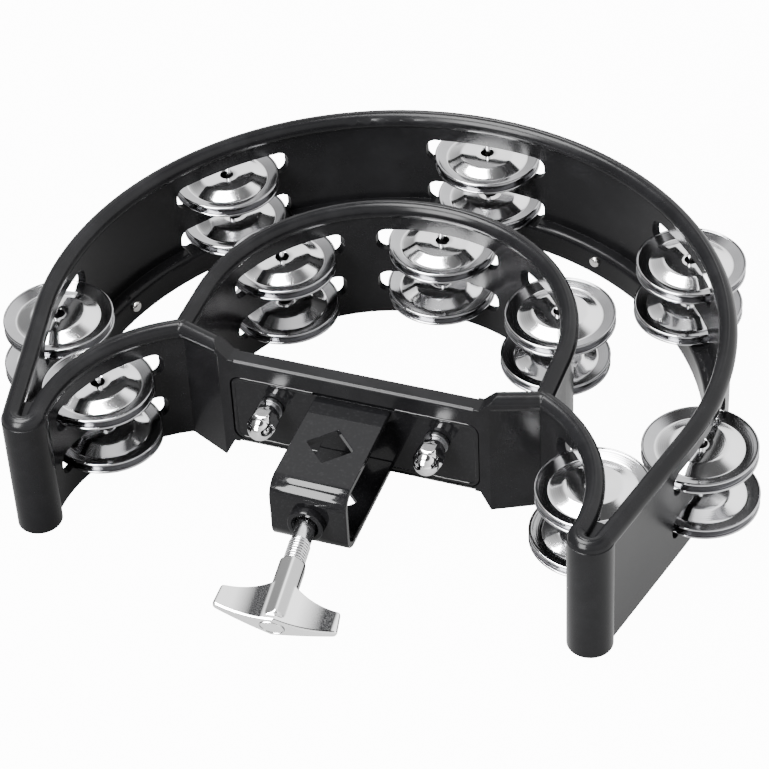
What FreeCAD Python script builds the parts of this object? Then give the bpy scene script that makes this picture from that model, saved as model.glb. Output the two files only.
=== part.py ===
import FreeCAD, Part
import math
import os

# Half-moon tambourine with a rod clamp, all sizes in millimetres.
# Origin: centre of the outer ring's arc, on the flat underside. +Z up, +Y to the rear of the ring.
# Angles of jingle stations are in degrees from +Y towards +X.

# Moulded frame
HEIGHT = 53.5
BEAD_RADIUS = 3.5
WALL = 3.0
OUTER_RADIUS = 126.5
OUTER_HALF_ANGLE = 103.4
OUTER_LEG = 58.8
INNER_RADIUS = 69.3
INNER_CENTRE_Y = -1.2
INNER_LEG = 23.6
NOTCH_RADIUS = 58.4
NOTCH_CENTRE_X = 42.9
NOTCH_CENTRE_Y = -75.7
NOTCH_START = 25.4
NOTCH_END = 99.0
NOSE_RADIUS = 8.3
NOSE_INSET = 4.57
NODE_RADIUS = 3.6
LEDGE_WIDTH = 7.0
LEDGE_HEIGHT = 11.3
LEDGE_FILLET = 2.5

# Straight front bar and its end blocks
BAR_FRONT = -33.0
BAR_REAR = -26.0
BAR_BOTTOM = 8.0
BAR_TOP = 47.5
BAR_HALF = 50.0
BAR_FILLET = 1.2
BLOCK_HALF = 52.0
CHAMFER_START = 48.0
FOOT_SPLAY = 0.5
ARM_INNER_X = 46.0
JUNCTION_X = 69.0
JUNCTION_Y = -24.0
JUNCTION_CORNERS = ((-0.6, -1.1), (1.6, 1.8), (-1.4, 4.4))
POCKET_DEPTH = 3.0
POCKET_HALF = 48.0
POCKET_BOTTOM = 9.3
POCKET_TOP = 40.3
POCKET_CORNER = 4.5

# Jingle stations
SLOT_WIDTH = 49.5
SLOT_HEIGHT = 10.0
SLOT_CORNER = 4.0
SLOT_BOTTOMS = {"low": 10.2, "high": 31.0}
SLOT_DEPTH_IN = 13.0
SLOT_DEPTH_OUT = 6.0
LEDGE_RELIEF_RADIUS = 22.3
PIN_RADIUS = 1.0
PIN_BOTTOM = 1.0
PIN_TOP = 46.0

# Jingle disc: raised flat centre, shoulder down to a crease, flared ring up to the rim
DISC_RADIUS = 21.0
DISC_HOLE = 2.8
DISC_SHEET = 0.7
DISC_FLAT = 10.6
DISC_CREASE = 16.0
DISC_FLAT_RISE = 2.2
DISC_RIM_RISE = 1.35
DISC_FLOOR_GAP = 0.2
DISC_PAIR_GAP = 0.15

# Ledge rivets
RIVET_ANGLES = (-75.4, -24.8, 24.8, 75.4)
RIVET_Z = 6.5
RIVET_SHANK = 1.2
RIVET_SHANK_LENGTH = 4.0
RIVET_HEAD = 2.3
RIVET_HEAD_HEIGHT = 1.8
RIVET_DOME_FILLET = 1.6
RIVET_SEAT_GAP = 0.03

# Clamp bracket
PLATE_THICKNESS = 2.5
PLATE_HALF = 46.5
PLATE_BOTTOM = 10.6
PLATE_TOP = 38.6
PLATE_CORNER = 3.2
STRAP_HALF = 14.5
STRAP_BOTTOM = 10.8
STRAP_TOP = 38.2
STRAP_FRONT = -81.0
STRAP_THICKNESS = 2.5
STRAP_BEND = 6.8
ROD_CENTRE_Y = -56.3
ROD_SQUARE = 12.7
CLAMP_Z = 24.4
BOSS_RADIUS = 6.75
BOSS_LENGTH = 3.5
BOSS_MOUTH = 5.2
BOSS_MOUTH_DEPTH = 1.0
STRAP_HOLE = 4.6

# Bracket fasteners
BOLT_X = 32.0
BOLT_Z = 28.5
BOLT_RADIUS = 3.0
BOLT_HOLE = 3.2
BOLT_HEAD = 5.4
BOLT_HEAD_HEIGHT = 3.6
REAR_WASHER = 6.2
REAR_WASHER_THICKNESS = 1.2
LOCK_WASHER = 4.6
LOCK_WASHER_THICKNESS = 2.2
LOCK_WASHER_SPLIT = 0.9
LOCK_WASHER_SPLIT_TURN = 25.0
BOLT_CROWN_FILLET = 2.2
NUT_COLLAR = 4.3
NUT_COLLAR_LENGTH = 4.2
NUT_FLATS = 10.0
NUT_HEX_LENGTH = 5.5
NUT_CHAMFER_RADIUS = 4.7
NUT_DOME = 4.7
NUT_DOME_LENGTH = 0.4
NUT_BORE_DEPTH = 11.0

# Wing bolt, drawn straight along Y and then turned and leaned as it rests in its loose thread
WING_LEAN = 7.0
WING_TURN = 9.0
SCREW_RADIUS = 4.0
SCREW_RUNNING_GAP = 0.05
SCREW_INNER_END = -76.6
HUB_FRONT = -103.2
HUB_REAR = -131.5
HUB_SOCKET = 6.0
HUB_ACROSS = 9.2
FOOT_RADIUS = 5.5
FOOT_TIP = -73.2
FOOT_BACK = -76.4
NECK_RADIUS = 2.5
NECK_LENGTH = 1.9
NECK_END_GAP = 0.1
WING_HALF = 21.7
WING_FACE = -134.0
WING_TIP_OUTER = -130.4
WING_TIP_INNER = -120.9
WING_TIP_FLARE = 0.7
WING_ROOT_Y = -112.0
WING_BEND_RISE = 2.6
WING_CENTRE_HALF_HEIGHT = 4.0
WING_WAIST_SHARE = 0.4
WING_WAIST_HALF_HEIGHT = 2.3
WING_TIP_HALF_HEIGHT = 1.3
WING_SLAB_DEPTH = 40.0

# Nuts and the hub are hexagons
HEX_SIDES = 6

# Cutting tools run this far past the faces they cut
CLEAR = 1.0

LEG_TOP = HEIGHT - BEAD_RADIUS
PLATE_REAR = BAR_FRONT + POCKET_DEPTH
PLATE_FRONT = PLATE_REAR - PLATE_THICKNESS
Z_AXIS = FreeCAD.Vector(0, 0, 1)

# name: (path, angle) where path is outer, inner, notch_left or notch_right
STATIONS = {
    "rear": ("outer", 0.0),
    "rear_left": ("outer", -48.6),
    "rear_right": ("outer", 48.6),
    "side_left": ("outer", -97.2),
    "side_right": ("outer", 97.2),
    "inner_rear": ("inner", 0.0),
    "inner_left": ("inner", -53.1),
    "inner_right": ("inner", 53.1),
    "tip_left": ("notch_left", -61.0),
    "tip_right": ("notch_right", 61.0),
}


def vec(x, y, z=0.0):
    return FreeCAD.Vector(x, y, z)


def polar(radius, angle, centre=(0.0, 0.0), z=0.0):
    turn = math.radians(angle)
    return vec(centre[0] + radius * math.sin(turn), centre[1] + radius * math.cos(turn), z)


def path_of(name):
    """Centre and radius of the wall centre line that a station's pin stands on."""
    if name == "outer":
        return (0.0, 0.0), OUTER_RADIUS
    if name == "inner":
        return (0.0, INNER_CENTRE_Y), INNER_RADIUS
    side = -1.0 if name == "notch_left" else 1.0
    return (side * NOTCH_CENTRE_X, NOTCH_CENTRE_Y), NOTCH_RADIUS


def pin_point(station, z=0.0):
    path, angle = STATIONS[station]
    centre, radius = path_of(path)
    return polar(radius, angle, centre, z)


def leg_end(radius, half_angle, leg, centre, side):
    """End of the straight leg that leaves the arc tangentially on one side."""
    start = polar(radius, side * half_angle, centre)
    turn = math.radians(half_angle)
    return start + vec(side * math.cos(turn), -math.sin(turn)) * leg


def mirrored_x(shape):
    return shape.mirror(vec(0, 0), vec(1, 0))


def prism(points, height):
    face = Part.Face(Part.makePolygon(points + [points[0]]))
    return face.extrude(Z_AXIS * height)


def horseshoe(radius_out, radius_in, half_angle, leg, centre, height):
    """Vertical wall that follows an arc and its two tangent legs."""
    loops = []
    for radius in (radius_out, radius_in):
        left = polar(radius, -half_angle, centre)
        right = polar(radius, half_angle, centre)
        loops.append({
            "left": left,
            "right": right,
            "arc": Part.Arc(left, polar(radius, 0.0, centre), right).toShape(),
            "left_end": leg_end(radius, half_angle, leg, centre, -1.0),
            "right_end": leg_end(radius, half_angle, leg, centre, 1.0),
        })
    out, inn = loops
    edges = [
        Part.makeLine(out["left_end"], out["left"]),
        out["arc"],
        Part.makeLine(out["right"], out["right_end"]),
        Part.makeLine(out["right_end"], inn["right_end"]),
        Part.makeLine(inn["right_end"], inn["right"]),
        inn["arc"],
        Part.makeLine(inn["left"], inn["left_end"]),
        Part.makeLine(inn["left_end"], out["left_end"]),
    ]
    face = Part.Face(Part.Wire(Part.__sortEdges__(edges)))
    return face.extrude(Z_AXIS * height)


def arc_band(radius_out, radius_in, start, end, centre, height):
    """Vertical wall over one arc, between two angles."""
    middle = 0.5 * (start + end)
    out_arc = Part.Arc(polar(radius_out, start, centre), polar(radius_out, middle, centre),
                       polar(radius_out, end, centre)).toShape()
    in_arc = Part.Arc(polar(radius_in, start, centre), polar(radius_in, middle, centre),
                      polar(radius_in, end, centre)).toShape()
    edges = [
        out_arc,
        Part.makeLine(polar(radius_out, end, centre), polar(radius_in, end, centre)),
        in_arc,
        Part.makeLine(polar(radius_in, start, centre), polar(radius_out, start, centre)),
    ]
    face = Part.Face(Part.Wire(Part.__sortEdges__(edges)))
    return face.extrude(Z_AXIS * height)


def arc_bead(radius, start, end, centre):
    """Round rim bead over one arc, swept about the arc's own centre."""
    point = polar(radius, start, centre, LEG_TOP)
    turn = math.radians(start)
    tangent = vec(math.cos(turn), -math.sin(turn))
    circle = Part.Face(Part.Wire(Part.makeCircle(BEAD_RADIUS, point, tangent)))
    return circle.revolve(vec(centre[0], centre[1]), vec(0, 0, -1), end - start)


def straight_bead(start, end):
    first = vec(start.x, start.y, LEG_TOP)
    run = vec(end.x, end.y, LEG_TOP) - first
    return Part.makeCylinder(BEAD_RADIUS, run.Length, first, run)


def rounded_box(half_width, bottom, top, corner, y_start, y_end):
    """Box with rounded corners seen along Y."""
    box = Part.makeBox(2 * half_width, y_end - y_start, top - bottom,
                       vec(-half_width, y_start, bottom))
    along_y = [edge for edge in box.Edges
               if abs(edge.Vertexes[0].Y - edge.Vertexes[1].Y) > 0.5 * (y_end - y_start)]
    return box.makeFillet(corner, along_y)


def y_cylinder(radius, y_start, y_end, x=0.0, z=0.0):
    return Part.makeCylinder(radius, y_end - y_start, vec(x, y_start, z), vec(0, 1, 0))


def hex_prism(across_flats, y_start, y_end, x, z):
    """Six-sided prism along Y with a flat on top."""
    half_side = math.pi / HEX_SIDES
    corner = 0.5 * across_flats / math.cos(half_side)
    points = []
    for step in range(HEX_SIDES + 1):
        turn = 0.5 * math.pi + half_side * (2 * step + 1)
        points.append(vec(x + corner * math.cos(turn), y_start, z + corner * math.sin(turn)))
    return Part.Face(Part.makePolygon(points)).extrude(vec(0, y_end - y_start, 0))


def leaned(shape):
    """Turns a piece of the wing bolt about its axis, then leans it about the clamp's thread."""
    shape.rotate(vec(0, 0, CLAMP_Z), vec(0, 1, 0), WING_TURN)
    shape.rotate(vec(0, STRAP_FRONT, CLAMP_Z), Z_AXIS, WING_LEAN)
    return shape


def fused(shapes):
    return shapes[0].multiFuse(shapes[1:]).removeSplitter()


def outer_ring():
    """Outer wall with its rim bead and the thick ledge inside its foot."""
    centre = (0.0, 0.0)
    half = 0.5 * WALL
    wall = horseshoe(OUTER_RADIUS + half, OUTER_RADIUS - half, OUTER_HALF_ANGLE, OUTER_LEG,
                     centre, LEG_TOP)
    shapes = [wall, arc_bead(OUTER_RADIUS, -OUTER_HALF_ANGLE, OUTER_HALF_ANGLE, centre)]
    for side in (-1.0, 1.0):
        start = polar(OUTER_RADIUS, side * OUTER_HALF_ANGLE, centre)
        end = leg_end(OUTER_RADIUS, OUTER_HALF_ANGLE, OUTER_LEG, centre, side)
        shapes.append(straight_bead(start, end))
    ledge_inner = OUTER_RADIUS - LEDGE_WIDTH
    ledge = horseshoe(OUTER_RADIUS, ledge_inner, OUTER_HALF_ANGLE, OUTER_LEG, centre, LEDGE_HEIGHT)
    lip = [edge for edge in ledge.Edges if is_ledge_lip(edge, ledge_inner)]
    shapes.append(ledge.makeFillet(LEDGE_FILLET, lip))
    return shapes


def is_ledge_lip(edge, ledge_inner):
    """True for the ledge's upper inner edges, on the arc and on both legs."""
    box = edge.BoundBox
    if box.ZMin < LEDGE_HEIGHT - 0.1:
        return False
    turn = math.radians(OUTER_HALF_ANGLE)
    for vertex in edge.Vertexes:
        on_arc = abs(math.hypot(vertex.X, vertex.Y) - ledge_inner) < 0.1
        across = abs(vertex.X) * math.sin(turn) + vertex.Y * math.cos(turn)
        if not on_arc and abs(across - ledge_inner) > 0.1:
            return False
    return True


def inner_wall():
    centre = (0.0, INNER_CENTRE_Y)
    half = 0.5 * WALL
    wall = horseshoe(INNER_RADIUS + half, INNER_RADIUS - half, 90.0, INNER_LEG, centre, LEG_TOP)
    shapes = [wall, arc_bead(INNER_RADIUS, -90.0, 90.0, centre)]
    for side in (-1.0, 1.0):
        start = polar(INNER_RADIUS, side * 90.0, centre)
        shapes.append(straight_bead(start, leg_end(INNER_RADIUS, 90.0, INNER_LEG, centre, side)))
    return shapes


def right_notch():
    """Concave wall from the junction to the rounded tip; the bead loops round the tip column."""
    centre = (NOTCH_CENTRE_X, NOTCH_CENTRE_Y)
    half = 0.5 * WALL
    wall = arc_band(NOTCH_RADIUS + half, NOTCH_RADIUS - half, NOTCH_START, NOTCH_END, centre,
                    LEG_TOP)
    bead = arc_bead(NOTCH_RADIUS, NOTCH_START, NOTCH_END, centre)
    tip = leg_end(OUTER_RADIUS - NOSE_INSET, OUTER_HALF_ANGLE, OUTER_LEG, (0.0, 0.0), 1.0)
    column = Part.makeCylinder(NOSE_RADIUS, LEG_TOP, tip)
    loop = arc_bead(NOSE_INSET, OUTER_HALF_ANGLE, OUTER_HALF_ANGLE + 180.0, (tip.x, tip.y))
    return [wall, bead, column, loop]


def right_arm():
    """Angled arm from the junction to the bar's end block."""
    outline = [
        vec(ARM_INNER_X, BAR_FRONT),
        vec(BLOCK_HALF, BAR_FRONT),
        *[vec(JUNCTION_X + dx, JUNCTION_Y + dy) for dx, dy in JUNCTION_CORNERS],
        vec(BLOCK_HALF + 0.6, BAR_REAR),
        vec(ARM_INNER_X, BAR_REAR),
    ]
    body = prism(outline, LEG_TOP)
    middle = 0.5 * (BAR_FRONT + BAR_REAR)
    knee = vec(BLOCK_HALF, middle)
    junction = vec(JUNCTION_X, JUNCTION_Y)
    inner_end = vec(ARM_INNER_X, middle)
    shapes = [body, straight_bead(inner_end, knee), straight_bead(knee, junction)]
    for point in (knee, junction):
        shapes.append(Part.makeSphere(NODE_RADIUS, vec(point.x, point.y, LEG_TOP)))
    arm = fused(shapes)
    run_out = BLOCK_HALF - ARM_INNER_X + CLEAR
    front = BAR_FRONT - BEAD_RADIUS - CLEAR
    above_bar = [
        vec(0.0, front, BAR_TOP),
        vec(CHAMFER_START, front, BAR_TOP),
        vec(CHAMFER_START + run_out, front, BAR_TOP + run_out),
        vec(0.0, front, BAR_TOP + run_out),
    ]
    below_bar = [
        vec(0.0, front, BAR_BOTTOM),
        vec(CHAMFER_START, front, BAR_BOTTOM),
        vec(BLOCK_HALF + FOOT_SPLAY, front, -CLEAR),
        vec(0.0, front, -CLEAR),
    ]
    for corners in (above_bar, below_bar):
        face = Part.Face(Part.makePolygon(corners + [corners[0]]))
        arm = arm.cut(face.extrude(vec(0, JUNCTION_Y + BEAD_RADIUS + CLEAR - front, 0)))
    return arm


def front_bar():
    bar = Part.makeBox(2 * BAR_HALF, BAR_REAR - BAR_FRONT, BAR_TOP - BAR_BOTTOM,
                       vec(-BAR_HALF, BAR_FRONT, BAR_BOTTOM))
    long_edges = [edge for edge in bar.Edges if edge.Length > 2 * BAR_HALF - 1.0]
    return bar.makeFillet(BAR_FILLET, long_edges)


def slot_tool(station, bottom):
    """Rounded window through the wall, square to it at the station."""
    path, angle = STATIONS[station]
    centre, radius = path_of(path)
    tool = rounded_box(0.5 * SLOT_WIDTH, bottom, bottom + SLOT_HEIGHT, SLOT_CORNER,
                       radius - SLOT_DEPTH_IN, radius + SLOT_DEPTH_OUT)
    tool.rotate(vec(0, 0), Z_AXIS, -angle)
    tool.translate(vec(centre[0], centre[1]))
    return tool


def frame_tools():
    """Everything cut out of the moulding."""
    tools = [rounded_box(POCKET_HALF, POCKET_BOTTOM, POCKET_TOP, POCKET_CORNER,
                         BAR_FRONT - POCKET_CORNER - CLEAR, PLATE_REAR)]
    for station in STATIONS:
        for bottom in SLOT_BOTTOMS.values():
            tools.append(slot_tool(station, bottom))
        if STATIONS[station][0] != "inner":
            tools.append(Part.makeCylinder(LEDGE_RELIEF_RADIUS, SLOT_HEIGHT,
                                           pin_point(station, SLOT_BOTTOMS["low"])))
        tools.append(Part.makeCylinder(PIN_RADIUS, PIN_TOP + CLEAR, pin_point(station, -CLEAR)))
    for side in (-1.0, 1.0):
        tools.append(y_cylinder(BOLT_HOLE, BAR_FRONT - CLEAR, BAR_REAR + CLEAR, side * BOLT_X, BOLT_Z))
    for angle in RIVET_ANGLES:
        tools.append(rivet_shank(angle))
    return tools


def make_frame():
    """The moulding, joined group by group so that every rim bead survives."""
    notch = fused(right_notch())
    arm = right_arm()
    groups = [notch, mirrored_x(notch), arm, mirrored_x(arm), fused(inner_wall()), front_bar()]
    whole = fused(outer_ring())
    for group in groups:
        whole = whole.fuse(group)
    return whole.removeSplitter().cut(frame_tools()).removeSplitter()


def rivet_shank(angle):
    face = OUTER_RADIUS - LEDGE_WIDTH
    return Part.makeCylinder(RIVET_SHANK, RIVET_SHANK_LENGTH, polar(face, angle, z=RIVET_Z),
                             polar(1.0, angle))


def make_rivets():
    """Four round-headed rivets in the ledge's inner face."""
    rivets = []
    seat_radius = OUTER_RADIUS - LEDGE_WIDTH - RIVET_SEAT_GAP
    for angle in RIVET_ANGLES:
        seat = polar(seat_radius, angle, z=RIVET_Z)
        head = Part.makeCylinder(RIVET_HEAD, RIVET_HEAD_HEIGHT, seat, polar(-1.0, angle))
        crown = [edge for edge in head.Edges
                 if edge.Closed and edge.CenterOfMass.distanceToPoint(seat) > 0.5 * RIVET_HEAD_HEIGHT]
        head = head.makeFillet(RIVET_DOME_FILLET, crown)
        neck = Part.makeCylinder(RIVET_SHANK, RIVET_SEAT_GAP, seat, polar(1.0, angle))
        rivets.append(fused([head, neck, rivet_shank(angle)]))
    return Part.makeCompound(rivets)


def make_pins():
    height = PIN_TOP - PIN_BOTTOM
    pins = [Part.makeCylinder(PIN_RADIUS, height, pin_point(station, PIN_BOTTOM))
            for station in STATIONS]
    return Part.makeCompound(pins)


def pressed_disc():
    """Pressed jingle disc with its crease on z = 0, raised centre and flared rim upwards."""
    lower = [
        (DISC_HOLE, DISC_FLAT_RISE),
        (DISC_FLAT, DISC_FLAT_RISE),
        (DISC_CREASE, 0.0),
        (DISC_RADIUS, DISC_RIM_RISE),
    ]
    upper = [(radius, rise + DISC_SHEET) for radius, rise in lower]
    outline = [vec(radius, 0.0, z) for radius, z in lower + upper[::-1]]
    face = Part.Face(Part.makePolygon(outline + [outline[0]]))
    return face.revolve(vec(0, 0), Z_AXIS, 360.0)


def make_disc(station, row, face):
    """One disc of a pair: creases meet, the bottom disc's centre faces down and the top one's up."""
    disc = pressed_disc()
    base = SLOT_BOTTOMS[row] + DISC_FLOOR_GAP
    meeting = base + DISC_FLAT_RISE + DISC_SHEET
    if face == "bottom":
        disc = disc.mirror(vec(0, 0), Z_AXIS)
        disc.translate(pin_point(station, meeting))
        return disc
    disc.translate(pin_point(station, meeting + DISC_PAIR_GAP))
    return disc


def bolt_holes(radius, y_start, y_end):
    return [y_cylinder(radius, y_start, y_end, side * BOLT_X, BOLT_Z) for side in (-1.0, 1.0)]


def make_plate():
    plate = rounded_box(PLATE_HALF, PLATE_BOTTOM, PLATE_TOP, PLATE_CORNER, PLATE_FRONT, PLATE_REAR)
    return plate.cut(bolt_holes(BOLT_HOLE, PLATE_FRONT - CLEAR, PLATE_REAR + CLEAR))


def strap_block(inset, back):
    """Solid block with the strap's two front bends, inset from the strap's outside."""
    bottom = STRAP_BOTTOM + inset
    top = STRAP_TOP - inset
    front = STRAP_FRONT + inset
    block = Part.makeBox(2 * STRAP_HALF, back - front, top - bottom,
                         vec(-STRAP_HALF, front, bottom))
    bends = [edge for edge in block.Edges
             if edge.BoundBox.YMax < front + 0.1 and edge.BoundBox.XLength > STRAP_HALF]
    return block.makeFillet(STRAP_BEND - inset, bends)


def make_strap():
    """U-shaped strap welded to the plate, with diamond holes for the upright rod."""
    strap = strap_block(0.0, PLATE_FRONT)
    hollow = strap_block(STRAP_THICKNESS, PLATE_FRONT + CLEAR)
    reach = ROD_SQUARE / math.sqrt(2.0)
    diamond = prism([
        vec(reach, ROD_CENTRE_Y),
        vec(0.0, ROD_CENTRE_Y + reach),
        vec(-reach, ROD_CENTRE_Y),
        vec(0.0, ROD_CENTRE_Y - reach),
    ], HEIGHT)
    hole = leaned(y_cylinder(STRAP_HOLE, STRAP_FRONT - CLEAR, STRAP_FRONT + 2 * STRAP_THICKNESS,
                             z=CLAMP_Z))
    return strap.cut([hollow, diamond, hole])


def make_boss():
    """Round threaded collar welded to the strap's front wall."""
    mouth = STRAP_FRONT - BOSS_LENGTH
    body = y_cylinder(BOSS_RADIUS, mouth, STRAP_FRONT, z=CLAMP_Z)
    bore_radius = SCREW_RADIUS + SCREW_RUNNING_GAP
    bore = leaned(y_cylinder(bore_radius, mouth - CLEAR, STRAP_FRONT + CLEAR, z=CLAMP_Z))
    flare = Part.makeCone(BOSS_MOUTH, bore_radius, BOSS_MOUTH_DEPTH, vec(0, mouth, CLAMP_Z),
                          vec(0, 1, 0))
    return body.cut([bore, leaned(flare)])


def make_bolts():
    """Two pan-head bolts that pass forwards through the bar and the plate."""
    bolts = []
    seat = BAR_REAR + REAR_WASHER_THICKNESS
    nut_seat = PLATE_FRONT - LOCK_WASHER_THICKNESS
    for side in (-1.0, 1.0):
        head = y_cylinder(BOLT_HEAD, seat, seat + BOLT_HEAD_HEIGHT, side * BOLT_X, BOLT_Z)
        crown = [edge for edge in head.Edges
                 if edge.BoundBox.YMin > seat + BOLT_HEAD_HEIGHT - 0.1]
        head = head.makeFillet(BOLT_CROWN_FILLET, crown)
        shank = y_cylinder(BOLT_RADIUS, nut_seat - NUT_BORE_DEPTH, seat, side * BOLT_X, BOLT_Z)
        bolts.append(head.fuse(shank).removeSplitter())
    return Part.makeCompound(bolts)


def make_rear_washers():
    washers = []
    for hole in bolt_holes(BOLT_HOLE, BAR_REAR - CLEAR, BAR_REAR + REAR_WASHER_THICKNESS + CLEAR):
        x = hole.CenterOfMass.x
        disc = y_cylinder(REAR_WASHER, BAR_REAR, BAR_REAR + REAR_WASHER_THICKNESS, x, BOLT_Z)
        washers.append(disc.cut(hole))
    return Part.makeCompound(washers)


def make_lock_washers():
    """Split spring washers under the acorn nuts."""
    washers = []
    back = PLATE_FRONT - LOCK_WASHER_THICKNESS
    for hole in bolt_holes(BOLT_HOLE, back - CLEAR, PLATE_FRONT + CLEAR):
        x = hole.CenterOfMass.x
        ring = y_cylinder(LOCK_WASHER, back, PLATE_FRONT, x, BOLT_Z)
        split = Part.makeBox(LOCK_WASHER_SPLIT, LOCK_WASHER_THICKNESS + 2 * CLEAR,
                             2 * LOCK_WASHER, vec(x, back - CLEAR, BOLT_Z))
        split.rotate(vec(x, back, BOLT_Z), vec(0, 1, 0), LOCK_WASHER_SPLIT_TURN)
        washers.append(ring.cut([hole, split]))
    return Part.makeCompound(washers)


def make_acorn_nuts():
    nuts = []
    seat = PLATE_FRONT - LOCK_WASHER_THICKNESS
    hex_back = seat - NUT_COLLAR_LENGTH
    hex_front = hex_back - NUT_HEX_LENGTH
    dome_base = hex_front - NUT_DOME_LENGTH
    for side in (-1.0, 1.0):
        x = side * BOLT_X
        collar = y_cylinder(NUT_COLLAR, hex_back, seat, x, BOLT_Z)
        body = hex_prism(NUT_FLATS, hex_front, hex_back, x, BOLT_Z)
        chamfer = Part.makeCone(NUT_CHAMFER_RADIUS, NUT_CHAMFER_RADIUS + NUT_HEX_LENGTH,
                                NUT_HEX_LENGTH, vec(x, hex_front, BOLT_Z), vec(0, 1, 0))
        body = body.common(chamfer)
        barrel = y_cylinder(NUT_DOME, dome_base, hex_front, x, BOLT_Z)
        dome = Part.makeSphere(NUT_DOME, vec(x, dome_base, BOLT_Z))
        nut = fused([collar, body, barrel, dome])
        bore = y_cylinder(BOLT_RADIUS, seat - NUT_BORE_DEPTH, seat + CLEAR, x, BOLT_Z)
        nuts.append(nut.cut(bore))
    return Part.makeCompound(nuts)


def make_foot():
    """Swivel foot on the screw's inner end."""
    foot = y_cylinder(FOOT_RADIUS, FOOT_BACK, FOOT_TIP, z=CLAMP_Z)
    socket = y_cylinder(NECK_RADIUS + SCREW_RUNNING_GAP, FOOT_BACK - CLEAR,
                        SCREW_INNER_END + NECK_LENGTH + NECK_END_GAP, z=CLAMP_Z)
    return leaned(foot.cut(socket))


def make_screw():
    """Thread body and the neck that turns in the foot."""
    body = y_cylinder(SCREW_RADIUS, HUB_FRONT - HUB_SOCKET, SCREW_INNER_END, z=CLAMP_Z)
    neck = y_cylinder(NECK_RADIUS, SCREW_INNER_END - CLEAR, SCREW_INNER_END + NECK_LENGTH,
                      z=CLAMP_Z)
    return leaned(body.fuse(neck).removeSplitter())


def wing_plan():
    """Handle seen from above: bowed outer face, inner edges that rise to the hub."""
    tip_out = vec(WING_HALF, WING_TIP_OUTER)
    tip_in = vec(WING_HALF - WING_TIP_FLARE, WING_TIP_INNER)
    bend = vec(0.5 * WING_HALF, WING_TIP_INNER + WING_BEND_RISE)
    root = vec(0.5 * HUB_ACROSS, WING_ROOT_Y)
    tip_out_left, tip_in_left, bend_left, root_left = [
        vec(-point.x, point.y) for point in (tip_out, tip_in, bend, root)]
    edges = [
        Part.Arc(tip_out_left, vec(0.0, WING_FACE), tip_out).toShape(),
        Part.makeLine(tip_out, tip_in),
        Part.Arc(tip_in, bend, root).toShape(),
        Part.makeLine(root, root_left),
        Part.Arc(root_left, bend_left, tip_in_left).toShape(),
        Part.makeLine(tip_in_left, tip_out_left),
    ]
    face = Part.Face(Part.Wire(Part.__sortEdges__(edges)))
    return face.extrude(Z_AXIS * HEIGHT)


def wing_front():
    """Handle seen along its axis: a peak at the hub that falls away to slim tips."""
    y = WING_FACE - CLEAR
    reach = WING_HALF + CLEAR
    waist = WING_WAIST_SHARE * reach
    edges = []
    corners = {}
    for up in (-1.0, 1.0):
        peak = vec(0.0, y, CLAMP_Z + up * WING_CENTRE_HALF_HEIGHT)
        for side in (-1.0, 1.0):
            end = vec(side * reach, y, CLAMP_Z + up * WING_TIP_HALF_HEIGHT)
            middle = vec(side * waist, y, CLAMP_Z + up * WING_WAIST_HALF_HEIGHT)
            edges.append(Part.Arc(peak, middle, end).toShape())
            corners[(side, up)] = end
    for side in (-1.0, 1.0):
        edges.append(Part.makeLine(corners[(side, -1.0)], corners[(side, 1.0)]))
    face = Part.Face(Part.Wire(Part.__sortEdges__(edges)))
    return face.extrude(vec(0, WING_SLAB_DEPTH, 0))


def make_handle():
    """T-shaped cast handle with a six-sided hub, one corner on top, fixed on the screw."""
    hub = hex_prism(HUB_ACROSS, HUB_REAR, HUB_FRONT, 0.0, CLAMP_Z)
    hub.rotate(vec(0, 0, CLAMP_Z), vec(0, 1, 0), 90.0)
    wings = wing_plan().common(wing_front())
    socket = y_cylinder(SCREW_RADIUS, HUB_FRONT - HUB_SOCKET, HUB_FRONT + CLEAR, z=CLAMP_Z)
    return leaned(fused([hub, wings]).cut(socket))


def save(name, shape):
    shape.exportStep("parts/" + name + ".step")


def main():
    os.makedirs("parts", exist_ok=True)
    pieces = {
        "frame": make_frame,
        "ledge_rivets": make_rivets,
        "jingle_pins": make_pins,
        "bracket_plate": make_plate,
        "clamp_strap": make_strap,
        "clamp_boss": make_boss,
        "bracket_bolts": make_bolts,
        "rear_washers": make_rear_washers,
        "lock_washers": make_lock_washers,
        "acorn_nuts": make_acorn_nuts,
        "pressure_foot": make_foot,
        "clamp_screw": make_screw,
        "wing_handle": make_handle,
    }
    for name, make in pieces.items():
        save(name, make())
    for station in STATIONS:
        for row in SLOT_BOTTOMS:
            for face in ("bottom", "top"):
                save("_".join(("jingle", station, row, face)), make_disc(station, row, face))


main()
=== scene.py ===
import math

import bmesh
import bpy
from mathutils import Matrix, Vector


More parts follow.
